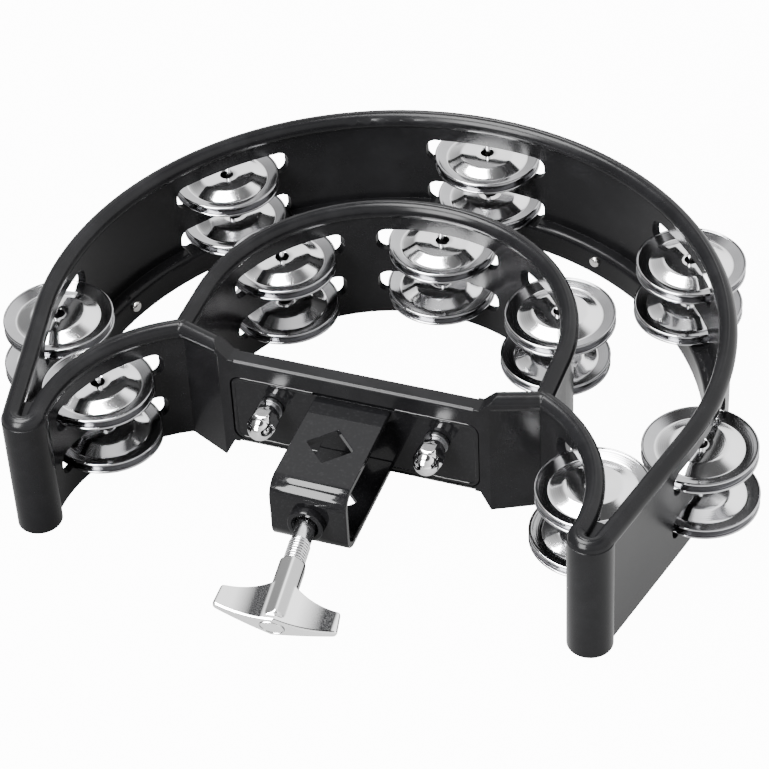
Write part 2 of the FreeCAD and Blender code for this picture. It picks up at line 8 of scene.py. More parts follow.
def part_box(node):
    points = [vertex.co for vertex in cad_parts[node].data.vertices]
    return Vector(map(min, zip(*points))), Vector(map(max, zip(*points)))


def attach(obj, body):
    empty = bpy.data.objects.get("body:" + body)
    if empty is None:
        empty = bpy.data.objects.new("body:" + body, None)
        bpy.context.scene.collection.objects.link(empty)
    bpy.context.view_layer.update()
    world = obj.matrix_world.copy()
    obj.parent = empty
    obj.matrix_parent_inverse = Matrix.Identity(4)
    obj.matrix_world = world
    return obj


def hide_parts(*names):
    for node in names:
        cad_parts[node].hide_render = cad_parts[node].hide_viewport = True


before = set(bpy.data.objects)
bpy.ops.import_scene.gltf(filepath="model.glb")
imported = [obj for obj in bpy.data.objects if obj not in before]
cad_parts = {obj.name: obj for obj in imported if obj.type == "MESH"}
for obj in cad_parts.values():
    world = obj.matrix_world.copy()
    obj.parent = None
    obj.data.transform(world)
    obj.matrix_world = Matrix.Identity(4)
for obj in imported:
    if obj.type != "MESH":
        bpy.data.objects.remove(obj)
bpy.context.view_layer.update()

# All sizes are in millimetres and in the part's own frame, unless a comment says otherwise
MM = 0.001

# Jingle disc, in millimetres: (radius, rise of the sheet's inner side above its crease)
DISC_PROFILE = (
    (2.8, 2.2), (5.0, 2.2), (7.5, 2.2), (9.4, 2.2), (9.8, 2.19), (10.2, 2.15), (10.6, 2.06),
    (11.0, 1.92), (11.4, 1.74), (12.4, 1.30), (13.6, 0.80), (14.6, 0.40), (15.2, 0.18),
    (15.6, 0.07), (15.85, 0.02), (16.0, 0.0), (16.15, 0.03), (16.4, 0.12), (16.8, 0.24),
    (17.8, 0.52), (18.8, 0.80), (19.6, 1.02), (20.0, 1.12), (20.2, 1.20),
)
DISC_HOLE = 2.6
DISC_RADIUS = 21.0
DISC_CREASE = 15.8
DISC_RIM_RISE = 1.35
DISC_LIP_RADIUS = 0.5
DISC_SHEET = 0.7
DISC_SEGMENTS = 120

# Stations of the jingles and how each pair rests: (shift in X, shift in Y, tilt in degrees)
STATIONS = {
    "rear": (0.3, 0.6, 0.6),
    "rear_left": (0.9, 0.7, -0.8),
    "rear_right": (-0.4, 0.3, 1.0),
    "side_left": (-1.0, -0.6, 0.9),
    "side_right": (0.9, -0.4, -1.2),
    "inner_rear": (-0.6, 0.2, 0.9),
    "inner_left": (0.2, -0.5, 0.8),
    "inner_right": (-1.2, 0.3, -1.0),
    "tip_left": (0.9, -0.3, 0.5),
    "tip_right": (-1.2, -0.2, -0.5),
}
# Share of that shift and tilt in each row, so that the two rows rest differently
ROW_SHARES = {"low": 1.0, "high": -0.7}

# Centre lines of the moulding's rim beads; angles in degrees from +Y towards +X
BEAD_TOP = 53.5
OUTER_RADIUS = 126.5
OUTER_HALF_ANGLE = 103.4
OUTER_LEG = 58.8
NOSE_INSET = 4.57
NOSE_TURN = 172.0
INNER_RADIUS = 69.3
INNER_CENTRE_Y = -1.2
INNER_LEG = 22.0
NOTCH_RADIUS = 58.4
NOTCH_CENTRE = (42.9, -75.7)
NOTCH_START = 26.0
NOTCH_END = 98.0

# Rivets and pins
RIVET_ANGLES = (-75.4, -24.8, 24.8, 75.4)
RIVET_SEAT = 119.47
RIVET_Z = 6.5
PIN_BOTTOM = 1.0
PIN_TOP = 46.0
PIN_RADIUS = 1.0

# Bracket plate, strap and fasteners
BOLT_X = 32.0
BOLT_Z = 28.5
PLATE_FRONT = -32.5
PLATE_TOP = 38.6
PLATE_BOTTOM = 10.6
PLATE_HALF = 46.5
PLATE_CORNER = 3.2
PAINT_LIP_OFFSET = 0.35
STRAP_HALF = 14.5
LOCK_WASHER_INNER = 3.2
LOCK_WASHER_OUTER = 4.7
LOCK_WASHER_THICKNESS = 2.2
LOCK_WASHER_CLIMB = 0.35
NUT_HALF_ACROSS = 5.0
BAR_REAR = -26.0
REAR_WASHER_THICKNESS = 1.2
SOCKET_HALF_ACROSS = 1.75
SOCKET_DEPTH = 2.2

# Clamp and wing bolt, drawn straight along Y, then turned and leaned about the pivot (degrees)
PIVOT = Vector((0.0, -81.0, 24.4))
WING_LEAN = 7.0
WING_TURN = 9.0
FOOT_REAR = -73.2
SCREW_INNER_END = -76.6
SCREW_RADIUS = 4.0
SCREW_OVERLAP = 2.0
THREAD_DEPTH = 0.85
PITCH = 1.25
SHANK_RADIUS = 3.68
SHANK = (-82.5, -93.2)
HUB_FRONT = -103.2
HUB_HALF_ACROSS = 4.6
WING_HALF = 21.7
WING_FACE = -134.0
WING_TIP_OUTER = -130.4
WING_TIP_INNER = -120.9
WING_CENTRE_HALF_HEIGHT = 4.0
WING_TIP_HALF_HEIGHT = 1.3
WING_TIP_ROUND = 1.1
OVAL_HALF_LENGTH = 4.6
OVAL_FLATNESS = 0.55
CASTING_VOXEL = 0.25

# Dark zones of the casting, along the wings from their middle:
# (starts, is full, begins to fade, has ended)
WORN_LEFT = (-15.5, -8.5, -4.8, -3.8)
WORN_RIGHT = (7.0, 16.0, 19.6, 20.4)
# Painted shade on the hub's side facets, strongest where they face sideways
HUB_SIDE_SHADE = (-5.4, -4.8, 4.8, 5.4)

# Stage and lamps, in metres; each lamp is (size, radiance, place)
FLOOR_HALF = 4.0
FLOOR_GAP = 0.0002
LAMP_AIM = (0.0, -0.02, 0.03)
LAMPS = {
    "overhead_softbox": ((0.62, 0.78), 50.0, (-0.385, -0.014, 1.30)),
    "front_left_softbox": ((0.55, 0.92), 50.0, (-0.36, -0.90, 0.74)),
}

# Camera: direction from the object in degrees, distance and target in metres
VIEW_AZIMUTH = 21.49
VIEW_ELEVATION = 41.35
VIEW_ROLL = -3.14
VIEW_DISTANCE = 1.1166
VIEW_TARGET = Vector((-0.0084, 0.0211, 0.0))
VIEW_LENS = 136.1


def wing_place():
    """The turn and the lean of the wing bolt about its pivot."""
    pivot = Matrix.Translation(PIVOT * MM)
    lean = Matrix.Rotation(math.radians(WING_LEAN), 4, "Z")
    turn = Matrix.Rotation(math.radians(WING_TURN), 4, "Y")
    return pivot @ lean @ turn @ pivot.inverted()


# ---------------------------------------------------------------- materials

class Nodes:
    """Short forms for building the node tree of a material or of the world."""

    def __init__(self, owner, shader="Principled BSDF"):
        owner.use_nodes = True
        self.owner = owner
        self.tree = owner.node_tree
        self.shader = self.tree.nodes[shader]
        self.coords = self.tree.nodes.new("ShaderNodeTexCoord")

    def add(self, kind, **values):
        node = self.tree.nodes.new(kind)
        for key, value in values.items():
            if key in node.inputs:
                node.inputs[key].default_value = value
            else:
                setattr(node, key, value)
        return node

    def fill(self, target, value):
        """Links a socket to an input, or writes a plain value into it."""
        if isinstance(value, bpy.types.NodeSocket):
            self.tree.links.new(value, target)
        elif isinstance(value, tuple):
            target.default_value = (*value, 1.0)
        else:
            target.default_value = value

    def noise(self, scale, detail=4.0, roughness=0.5):
        node = self.add("ShaderNodeTexNoise", Scale=scale, Detail=detail, Roughness=roughness)
        self.fill(node.inputs["Vector"], self.coords.outputs["Object"])
        return node.outputs["Fac"]

    def remap(self, source, low, high, start=0.3, end=0.7):
        node = self.add("ShaderNodeMapRange")
        node.inputs["From Min"].default_value = start
        node.inputs["From Max"].default_value = end
        node.inputs["To Min"].default_value = low
        node.inputs["To Max"].default_value = high
        self.fill(node.inputs["Value"], source)
        return node.outputs["Result"]

    def mix(self, factor, first, second):
        """Mixes two colours."""
        node = self.add("ShaderNodeMix", data_type="RGBA")
        self.fill(node.inputs["Factor"], factor)
        self.fill(node.inputs[6], first)
        self.fill(node.inputs[7], second)
        return node.outputs[2]

    def bump(self, height, strength, distance, normal=None):
        node = self.add("ShaderNodeBump", Strength=strength, Distance=distance)
        self.fill(node.inputs["Height"], height)
        if normal is not None:
            self.fill(node.inputs["Normal"], normal)
        return node.outputs["Normal"]

    def maths(self, operation, *values):
        node = self.add("ShaderNodeMath", operation=operation)
        for target, value in zip(node.inputs, values):
            self.fill(target, value)
        return node.outputs[0]

    def window(self, source, middle, zone):
        """Rises from 0 to 1 and falls back to 0 along a source in metres."""
        starts, full, fades, ended = (middle + edge * MM for edge in zone)
        return self.maths("MULTIPLY", self.remap(source, 0.0, 1.0, starts, full),
                          self.remap(source, 1.0, 0.0, fades, ended))

    def set(self, **values):
        """Fills inputs of the shader; underscores in the names stand for spaces."""
        for key, value in values.items():
            self.fill(self.shader.inputs[key.replace("_", " ")], value)


def moulded_plastic():
    """Black injection-moulded plastic: semi-gloss, faint flow marks, dust and fine scratches."""
    n = Nodes(bpy.data.materials.new("moulded_black_plastic"))
    flow = n.noise(14.0, 2.0)
    grain = n.noise(1500.0, 2.0)
    scuff = n.noise(45.0, 8.0, 0.7)
    base = n.mix(n.remap(scuff, 0.0, 1.0, 0.45, 0.75),
                 (0.0035, 0.0035, 0.0038), (0.006, 0.006, 0.0065))
    rounded = n.add("ShaderNodeBevel", samples=4, Radius=0.35 * MM)
    soft = n.bump(flow, 0.06, 0.0005, rounded.outputs["Normal"])
    n.set(Base_Color=base, Roughness=n.remap(scuff, 0.19, 0.27, 0.35, 0.7), IOR=1.5)
    n.set(Specular_IOR_Level=0.11, Normal=n.bump(grain, 0.05, 0.00006, soft))
    return n.owner


def gloss_paint():
    """Thick black paint on steel: near-mirror with a slow ripple."""
    n = Nodes(bpy.data.materials.new("black_gloss_paint"))
    ripple = n.noise(160.0, 2.0)
    speck = n.noise(900.0, 3.0)
    base = n.mix(n.remap(speck, 0.0, 1.0, 0.55, 0.8),
                 (0.003, 0.003, 0.0033), (0.007, 0.007, 0.0075))
    n.set(Base_Color=base, Roughness=n.remap(speck, 0.10, 0.18), IOR=1.5, Specular_IOR_Level=0.06)
    n.set(Coat_Weight=0.26, Coat_Roughness=0.04, Normal=n.bump(ripple, 0.10, 0.0003))
    return n.owner


def turned_chrome():
    """Plated pressed sheet: fine rings from turning, soft stains, and a greyer flare."""
    n = Nodes(bpy.data.materials.new("turned_chrome"))
    rings = n.add("ShaderNodeTexWave", wave_type="RINGS", rings_direction="Z", Scale=420.0,
                  Distortion=0.6, Detail=2.0)
    rings.inputs["Detail Scale"].default_value = 8.0
    n.fill(rings.inputs["Vector"], n.coords.outputs["Object"])
    stain = n.noise(70.0, 5.0)
    dent = n.noise(95.0, 1.0)
    centre = n.mix(n.remap(stain, 0.0, 1.0), (0.90, 0.90, 0.91), (0.80, 0.80, 0.81))
    flare = n.mix(n.remap(stain, 0.0, 1.0), (0.42, 0.42, 0.43), (0.34, 0.34, 0.35))
    reach = n.add("ShaderNodeVectorMath", operation="LENGTH")
    n.fill(reach.inputs[0], n.coords.outputs["Object"])
    outside = n.remap(reach.outputs["Value"], 0.0, 1.0, 15.9 * MM, 16.6 * MM)
    ring_normal = n.bump(rings.outputs["Fac"], 0.10, 0.00003)
    n.set(Base_Color=n.mix(outside, centre, flare), Metallic=1.0)
    n.set(Roughness=n.remap(stain, 0.09, 0.17, 0.3, 0.8),
          Normal=n.bump(dent, 0.16, 0.0004, ring_normal))
    return n.owner


def bright_metal(name, colour, roughness, grain_scale, ripple):
    """Plated or drawn metal with a fine grain and a slow ripple."""
    n = Nodes(bpy.data.materials.new(name))
    grain = n.noise(grain_scale, 4.0)
    slow = n.noise(120.0, 2.0)
    darker = tuple(0.82 * channel for channel in colour)
    n.set(Base_Color=n.mix(n.remap(grain, 0.0, 1.0), colour, darker), Metallic=1.0)
    n.set(Roughness=n.remap(grain, roughness, 2.2 * roughness),
          Normal=n.bump(slow, ripple, 0.0003))
    return n.owner


def cast_chrome():
    """Polished plated casting: grainy and dark on part of each wing, with painted shade on the
    hub's sides.
    """
    n = Nodes(bpy.data.materials.new("cast_chrome"))
    place = wing_place()
    axis = (place.to_3x3() @ Vector((1.0, 0.0, 0.0))).normalized()
    middle = axis.dot(place @ (Vector((0.0, WING_FACE, PIVOT.z)) * MM))
    grain = n.noise(2600.0, 3.0, 0.7)
    slow = n.noise(120.0, 2.0)
    along = n.add("ShaderNodeVectorMath", operation="DOT_PRODUCT")
    n.fill(along.inputs[0], n.coords.outputs["Object"])
    along.inputs[1].default_value = axis
    reach = along.outputs["Value"]
    facing = n.add("ShaderNodeSeparateXYZ")
    n.fill(facing.inputs["Vector"], n.coords.outputs["Normal"])
    worn = n.maths("ADD", n.window(reach, middle, WORN_LEFT), n.window(reach, middle, WORN_RIGHT))
    share = n.maths("MULTIPLY", worn, n.remap(facing.outputs["Z"], 0.0, 1.0, 0.84, 0.97))
    patchy = n.maths("MULTIPLY", share, n.remap(grain, 0.86, 1.0, 0.38, 0.55))
    # Painted shade: the hub's side facets darken the more their normals point sideways
    aside = n.maths("ABSOLUTE", facing.outputs["X"])
    sides = n.maths("MULTIPLY", n.window(reach, middle, HUB_SIDE_SHADE),
                    n.remap(aside, 0.0, 0.92, 0.42, 0.72))
    dark = n.maths("MAXIMUM", patchy, sides)
    n.set(Base_Color=n.mix(dark, (1.0, 1.0, 1.0), (0.02, 0.02, 0.022)), Metallic=1.0)
    n.set(Roughness=n.remap(grain, 0.05, 0.12), Normal=n.bump(slow, 0.05, 0.0003))
    return n.owner


def pale_floor():
    """Paper floor: white to the eye; in reflections a softer painted glow, dimmed on the left as
    painted shadow and brighter towards the right as painted light.
    """
    n = Nodes(bpy.data.materials.new("pale_floor"))
    path = n.add("ShaderNodeLightPath")
    tone = n.noise(3.0, 2.0)
    split = n.add("ShaderNodeSeparateXYZ")
    n.fill(split.inputs["Vector"], n.coords.outputs["Object"])
    # Painted shadow: the glow seen in reflections dims towards the left; painted light: it
    # brightens towards the right
    left = n.remap(split.outputs["X"], 0.40, 1.0, -0.12, 0.05)
    right = n.remap(split.outputs["X"], 0.80, 2.9, 0.05, 0.30)
    # Camera rays see an even white glow; other rays see the painted light and shadow
    painted_floor_glow = n.add("ShaderNodeMix", data_type="FLOAT")
    n.fill(painted_floor_glow.inputs["Factor"], path.outputs["Is Camera Ray"])
    n.fill(painted_floor_glow.inputs[2], n.maths("MULTIPLY", left, right))
    n.fill(painted_floor_glow.inputs[3], 13.0)
    n.set(Base_Color=n.mix(tone, (0.07, 0.07, 0.07), (0.09, 0.09, 0.09)), Roughness=0.8)
    n.set(Emission_Strength=painted_floor_glow.outputs[0], Emission_Color=(1.0, 1.0, 1.0))
    n.set(Specular_IOR_Level=0.0)
    return n.owner


PLASTIC = moulded_plastic()
PAINT = gloss_paint()
DISC_CHROME = turned_chrome()
BLACK_STEEL = bright_metal("blackened_steel", (0.16, 0.16, 0.165), 0.22, 700.0, 0.1)
WIRE = bright_metal("drawn_steel_wire", (0.72, 0.72, 0.73), 0.12, 1500.0, 0.02)
NICKEL = bright_metal("nickel_rivet", (0.74, 0.72, 0.69), 0.14, 900.0, 0.1)
ZINC = bright_metal("zinc_plated_steel", (0.66, 0.66, 0.68), 0.2, 700.0, 0.1)
NUT_CHROME = bright_metal("nut_chrome", (0.84, 0.84, 0.85), 0.05, 900.0, 0.08)
THREAD_CHROME = bright_metal("thread_chrome", (0.80, 0.80, 0.81), 0.1, 1200.0, 0.05)
# Dark metal painted into the thread's groove as shade
THREAD_GROOVE_SHADE = bright_metal("thread_groove_painted_shade", (0.10, 0.10, 0.105), 0.4, 1200.0, 0.05)
# Near-black metal painted as shade between the two discs of a pair and in their holes
DISC_PAINTED_SHADE = bright_metal("disc_inside_painted_shade", (0.05, 0.05, 0.052), 0.5, 800.0, 0.1)
CAST_CHROME = cast_chrome()


def coat_node(node, material):
    """Gives a CAD object its material."""
    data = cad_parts[node].data
    data.materials.clear()
    data.materials.append(material)


def soften_node(node, width):
    """Rounds the sharp edges of a steel CAD object so that they catch the light."""
    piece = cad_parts[node]
    weld = piece.modifiers.new("weld", "WELD")
    weld.merge_threshold = 0.002 * MM
    bevel = piece.modifiers.new("soft_edges", "BEVEL")
    bevel.width = width * MM
    bevel.segments = 3
    bevel.limit_method = "ANGLE"
    bevel.angle_limit = math.radians(40.0)
    bevel.harden_normals = True


# ---------------------------------------------------------------- mesh helpers

def place_along_y(x, y, z):
    """Maps a turned outline's Z to -Y, starting at the given point in millimetres."""
    return Matrix.Translation(Vector((x, y, z)) * MM) @ Matrix.Rotation(math.radians(90.0), 4, "X")


def flat_limit(angle, sides, half_across, sharpness=36.0):
    """Radius of a regular polygon with slightly rounded corners."""
    total = 0.0
    for side in range(sides):
        reach = math.cos(angle - math.pi / 2 - 2.0 * math.pi * side / sides)
        if reach > 0.0:
            total += reach ** sharpness
    return half_across / total ** (1.0 / sharpness)


def turned(bm, outline, segments, place, sides=0, half_across=0.0):
    """Turns a (radius, z) outline about Z. Radii past the flats are cut back to them."""
    rings = []
    for step in range(segments):
        angle = 2.0 * math.pi * step / segments
        limit = flat_limit(angle, sides, half_across) if sides else 1.0e6
        ring = []
        for radius, z in outline:
            reach = min(radius, limit)
            point = Vector((reach * math.cos(angle), reach * math.sin(angle), z)) * MM
            ring.append(bm.verts.new(place @ point))
        rings.append(ring)
    count = len(outline)
    for step in range(segments):
        here, there = rings[step], rings[(step + 1) % segments]
        for index in range(count):
            after = (index + 1) % count
            if outline[index][0] == 0.0 and outline[after][0] == 0.0:
                continue
            bm.faces.new((here[index], there[index], there[after], here[after]))


def skin_rings(bm, rings):
    """Faces between neighbouring rings, and a cap at both ends. Returns the faces between."""
    sides = []
    for here, there in zip(rings, rings[1:]):
        for index in range(len(here)):
            after = (index + 1) % len(here)
            sides.append(bm.faces.new((here[index], there[index], there[after], here[after])))
    bm.faces.new(rings[0])
    bm.faces.new(rings[-1])
    return sides


def finish_mesh(name, bm, material, sharp=40.0):
    bmesh.ops.remove_doubles(bm, verts=bm.verts, dist=1.0e-7)
    bmesh.ops.recalc_face_normals(bm, faces=bm.faces)
    mesh = bpy.data.meshes.new(name)
    bm.to_mesh(mesh)
    bm.free()
    mesh.materials.append(material)
    for polygon in mesh.polygons:
        polygon.use_smooth = True
    mesh.set_sharp_from_angle(angle=math.radians(sharp))
    return mesh


def new_object(name, mesh):
    piece = bpy.data.objects.new(name, mesh)
    bpy.context.scene.collection.objects.link(piece)
    return piece


def add_piece(name, bm, material, body, node, sharp=40.0):
    piece = new_object(name, finish_mesh(name, bm, material, sharp))
    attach(piece, body)
    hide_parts(node)
    return piece


def arc_points(centre_r, centre_z, radius, start, end, steps):
    """Points of a rounded corner in an outline; angles from the outward radius towards +z."""
    points = []
    for step in range(steps + 1):
        turn = math.radians(start + (end - start) * step / steps)
        points.append((centre_r + radius * math.cos(turn), centre_z + radius * math.sin(turn)))
    return points


def rounded_rectangle(half_length, half_height, corner, steps=5):
    """Outline with four round corners, from the right-hand side of the upper right one."""
    points = []
    for sign_l, sign_h, start in ((1, 1, 0.0), (-1, 1, 90.0), (-1, -1, 180.0), (1, -1, 270.0)):
        points += arc_points(sign_l * (half_length - corner), sign_h * (half_height - corner),
                             corner, start, start + 90.0, steps)
    return points


# ---------------------------------------------------------------- jingles

def disc_outline(sign):
    """Closed section of one disc, centre raised (sign 1) or hanging (sign -1) from the crease."""
    lower = list(DISC_PROFILE)
    upper = [(radius, rise + DISC_SHEET) for radius, rise in lower]
    edge_middle = DISC_RIM_RISE + 0.5 * DISC_SHEET
    edge = arc_points(DISC_RADIUS - DISC_LIP_RADIUS, edge_middle, DISC_LIP_RADIUS,
                      -110.0, 110.0, 12)
    hole_middle = DISC_PROFILE[0][1] + 0.5 * DISC_SHEET
    hole = [(DISC_HOLE + 0.05, hole_middle + 0.25), (DISC_HOLE, hole_middle + 0.1),
            (DISC_HOLE, hole_middle - 0.1), (DISC_HOLE + 0.05, hole_middle - 0.25)]
    outline = lower + edge + upper[::-1] + hole
    return [(radius, sign * z) for radius, z in outline]


def add_jingles():
    """Two discs in each slot, with painted shade on the sides that face each other and on the
    hole's edge, that rest a little off centre.
    """
    meshes = {}
    for face, sign in (("top", 1.0), ("bottom", -1.0)):
        bm = bmesh.new()
        turned(bm, disc_outline(sign), DISC_SEGMENTS, Matrix.Identity(4))
        mesh = finish_mesh("jingle_" + face, bm, DISC_CHROME, 60.0)
        mesh.materials.append(DISC_PAINTED_SHADE)
        # Painted shade: faces inside the crease that face the other disc, and the hole's edge, take
        # the dark material
        for polygon in mesh.polygons:
            reach = math.hypot(polygon.center.x, polygon.center.y) / MM
            inner_side = sign * polygon.normal.z < 0.0 and reach < DISC_CREASE
            if inner_side or reach < DISC_HOLE + 0.1:
                polygon.material_index = 1
        meshes[face] = mesh
    for station, (shift_x, shift_y, tilt) in STATIONS.items():
        for row, share in ROW_SHARES.items():
            for face, mesh in meshes.items():
                node = f"jingle_{station}_{row}_{face}"
                low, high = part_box(node)
                centre = 0.5 * (low + high)
                crease = low.z if face == "top" else high.z
                along_wall = Vector((centre.y, -centre.x, 0.0)).normalized()
                pair_middle = Vector((centre.x + share * shift_x * MM,
                                      centre.y + share * shift_y * MM, crease))
                lean = Matrix.Rotation(math.radians(share * tilt), 4, along_wall)
                piece = new_object(f"disc_{station}_{row}_{face}", mesh)
                piece.matrix_world = Matrix.Translation(pair_middle) @ lean
                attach(piece, f"disc_{station}_{row}_{face}")
                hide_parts(node)


def add_pins():
    """A steel pin with rounded ends through both rows of each station."""
    bm = bmesh.new()
    end = 0.3
    outline = [(0.0, PIN_BOTTOM)]
    outline += arc_points(PIN_RADIUS - end, PIN_BOTTOM + end, end, -90.0, 0.0, 4)
    outline += [(PIN_RADIUS, 20.0), (PIN_RADIUS, 34.0)]
    outline += arc_points(PIN_RADIUS - end, PIN_TOP - end, end, 0.0, 90.0, 4)
    outline.append((0.0, PIN_TOP))
    for station in STATIONS:
        low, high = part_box(f"jingle_{station}_low_top")
        place = Matrix.Translation((0.5 * (low.x + high.x), 0.5 * (low.y + high.y), 0.0))
        turned(bm, outline, 32, place)
    add_piece("steel_pins", bm, WIRE, "body", "jingle_pins")


# ---------------------------------------------------------------- moulding details

def arc_path(centre, radius, start, end):
    """Points along the top of a rim bead's arc; angles from +Y towards +X, in millimetres."""
    points = []
    steps = max(8, int(abs(end - start) / 1.5))
    for step in range(steps + 1):
        turn = math.radians(start + (end - start) * step / steps)
        points.append(Vector((centre[0] + radius * math.sin(turn),
                              centre[1] + radius * math.cos(turn), BEAD_TOP)))
    return points


def half_rim():
    """Right half of the rim: outer arc, leg, turn round the tip and back along the notch."""
    points = arc_path((0.0, 0.0), OUTER_RADIUS, 0.0, OUTER_HALF_ANGLE)
    turn = math.radians(OUTER_HALF_ANGLE)
    run = Vector((math.cos(turn), -math.sin(turn), 0.0))
    inward = Vector((-math.sin(turn), -math.cos(turn), 0.0))
    tip = points[-1] + OUTER_LEG * run + NOSE_INSET * inward
    points += arc_path(tip, NOSE_INSET, OUTER_HALF_ANGLE, OUTER_HALF_ANGLE + NOSE_TURN)
    points += arc_path(NOTCH_CENTRE, NOTCH_RADIUS, NOTCH_END, NOTCH_START)
    return points


def inner_rim():
    """The rim of the U-shaped inner wall: a half circle with two straight legs."""
    points = arc_path((0.0, INNER_CENTRE_Y), INNER_RADIUS, -90.0, 90.0)
    drop = Vector((0.0, -INNER_LEG, 0.0))
    return [points[0] + drop] + points + [points[-1] + drop]


def sweep(bm, points, section, up=Vector((0.0, 0.0, 1.0))):
    """Sweeps a closed (across, up) section along a flat path and caps both ends."""
    rings = []
    last = len(points) - 1
    for index, point in enumerate(points):
        ahead = points[min(index + 1, last)] - points[max(index - 1, 0)]
        across = ahead.cross(up).normalized()
        rings.append([bm.verts.new((point + across * a + up * u) * MM) for a, u in section])
    skin_rings(bm, rings)


def add_bead_ridges():
    """The fine parting ridge that runs along the top of every rim bead."""
    section = [(-0.75, -0.35), (-0.45, -0.02), (-0.2, 0.14), (0.0, 0.18), (0.2, 0.14),
               (0.45, -0.02), (0.75, -0.35)]
    bm = bmesh.new()
    right = half_rim()
    left = [Vector((-point.x, point.y, point.z)) for point in right[:0:-1]]
    sweep(bm, left + right, section)
    sweep(bm, inner_rim(), section)
    piece = new_object("bead_ridges", finish_mesh("bead_ridges", bm, PLASTIC, 60.0))
    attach(piece, "body")


def add_paint_lip():
    """Paint that gathered as an uneven bead on the bracket plate's rim, broken at the strap."""
    middle = 0.5 * (PLATE_TOP + PLATE_BOTTOM)
    top = PLATE_TOP - middle + PAINT_LIP_OFFSET
    gap = STRAP_HALF + 1.0
    corner_steps = 8
    outline = rounded_rectangle(PLATE_HALF + PAINT_LIP_OFFSET, top,
                                PLATE_CORNER + PAINT_LIP_OFFSET, corner_steps)
    first = corner_steps + 1
    rim = [(-gap, top)] + outline[first:] + outline[:first] + [(gap, top)]
    points = []
    for here, there in zip(rim, rim[1:]):
        parts = max(1, int(math.dist(here, there) / 0.7))
        for part in range(parts):
            x = here[0] + (there[0] - here[0]) * part / parts
            z = here[1] + (there[1] - here[1]) * part / parts
            wave = math.sin(1.7 * x + 0.9 * z) + math.sin(0.6 * x)
            points.append(Vector((x, PLATE_FRONT + 0.08 - 0.05 * wave, z + middle)))
    section = [(0.85 * math.cos(turn), 0.42 * math.sin(turn))
               for turn in (math.radians(30.0 * step) for step in range(12))]
    bm = bmesh.new()
    sweep(bm, points, section, Vector((0.0, -1.0, 0.0)))
    piece = new_object("plate_paint_lip", finish_mesh("plate_paint_lip", bm, PAINT, 60.0))
    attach(piece, "body")


def add_rivets():
    """Domed rivet heads on the ledge, facing the middle of the ring."""
    bm = bmesh.new()
    outline = [(0.0, -3.0), (1.2, -3.0), (1.2, 0.0), (2.2, 0.0)]
    outline += arc_points(0.9, 0.4, 1.4, 0.0, 78.0, 8)
    outline.append((0.0, 1.86))
    for angle in RIVET_ANGLES:
        turn = math.radians(angle)
        seat = Vector((RIVET_SEAT * math.sin(turn), RIVET_SEAT * math.cos(turn), RIVET_Z)) * MM
        inward = Vector((-math.sin(turn), -math.cos(turn), 0.0))
        place = Matrix.Translation(seat) @ inward.to_track_quat("Z", "Y").to_matrix().to_4x4()
        turned(bm, outline, 40, place)
    add_piece("rivet_heads", bm, NICKEL, "body", "ledge_rivets")


# ---------------------------------------------------------------- bracket fasteners

def add_acorn_nuts():
    """Plated cap nuts: collar, chamfered hexagon and dome."""
    outline = [(3.1, 0.0), (4.1, 0.0), (4.3, 0.2), (4.3, 3.7), (4.45, 4.05), (5.0, 4.25),
               (5.9, 4.75), (5.9, 5.2), (5.9, 7.0), (5.9, 8.8), (5.3, 9.3), (4.85, 9.65),
               (4.7, 9.85)]
    outline += arc_points(0.0, 10.1, 4.7, 4.0, 82.0, 14)
    outline += [(0.0, 14.8), (0.0, 11.4), (3.0, 11.2), (3.0, 4.0)]
    bm = bmesh.new()
    seat = PLATE_FRONT - LOCK_WASHER_THICKNESS
    for side in (-1.0, 1.0):
        place = place_along_y(side * BOLT_X, seat, BOLT_Z)
        turned(bm, outline, 96, place, 6, NUT_HALF_ACROSS)
    add_piece("cap_nuts", bm, NUT_CHROME, "body", "acorn_nuts", 50.0)


def split_ring(bm, place, inner, outer, thickness, rise):
    """Spring washer: a rounded square section that climbs a little round its split circle."""
    steps = 72
    middle = 0.5 * (inner + outer)
    section = rounded_rectangle(0.5 * (outer - inner), 0.5 * (thickness - rise), 0.25, 3)
    rings = []
    for step in range(steps + 1):
        share = step / steps
        angle = math.radians(120.0 + 346.0 * share)
        lift = 0.5 * thickness + rise * (share - 0.5)
        ring = []
        for across, up in section:
            radius = middle + across
            point = Vector((radius * math.cos(angle), radius * math.sin(angle), up + lift)) * MM
            ring.append(bm.verts.new(place @ point))
        rings.append(ring)
    skin_rings(bm, rings)


def add_lock_washers():
    bm = bmesh.new()
    for side in (-1.0, 1.0):
        place = place_along_y(side * BOLT_X, PLATE_FRONT, BOLT_Z)
        split_ring(bm, place, LOCK_WASHER_INNER, LOCK_WASHER_OUTER, LOCK_WASHER_THICKNESS,
                   LOCK_WASHER_CLIMB)
    add_piece("spring_washers", bm, BLACK_STEEL, "body", "lock_washers")


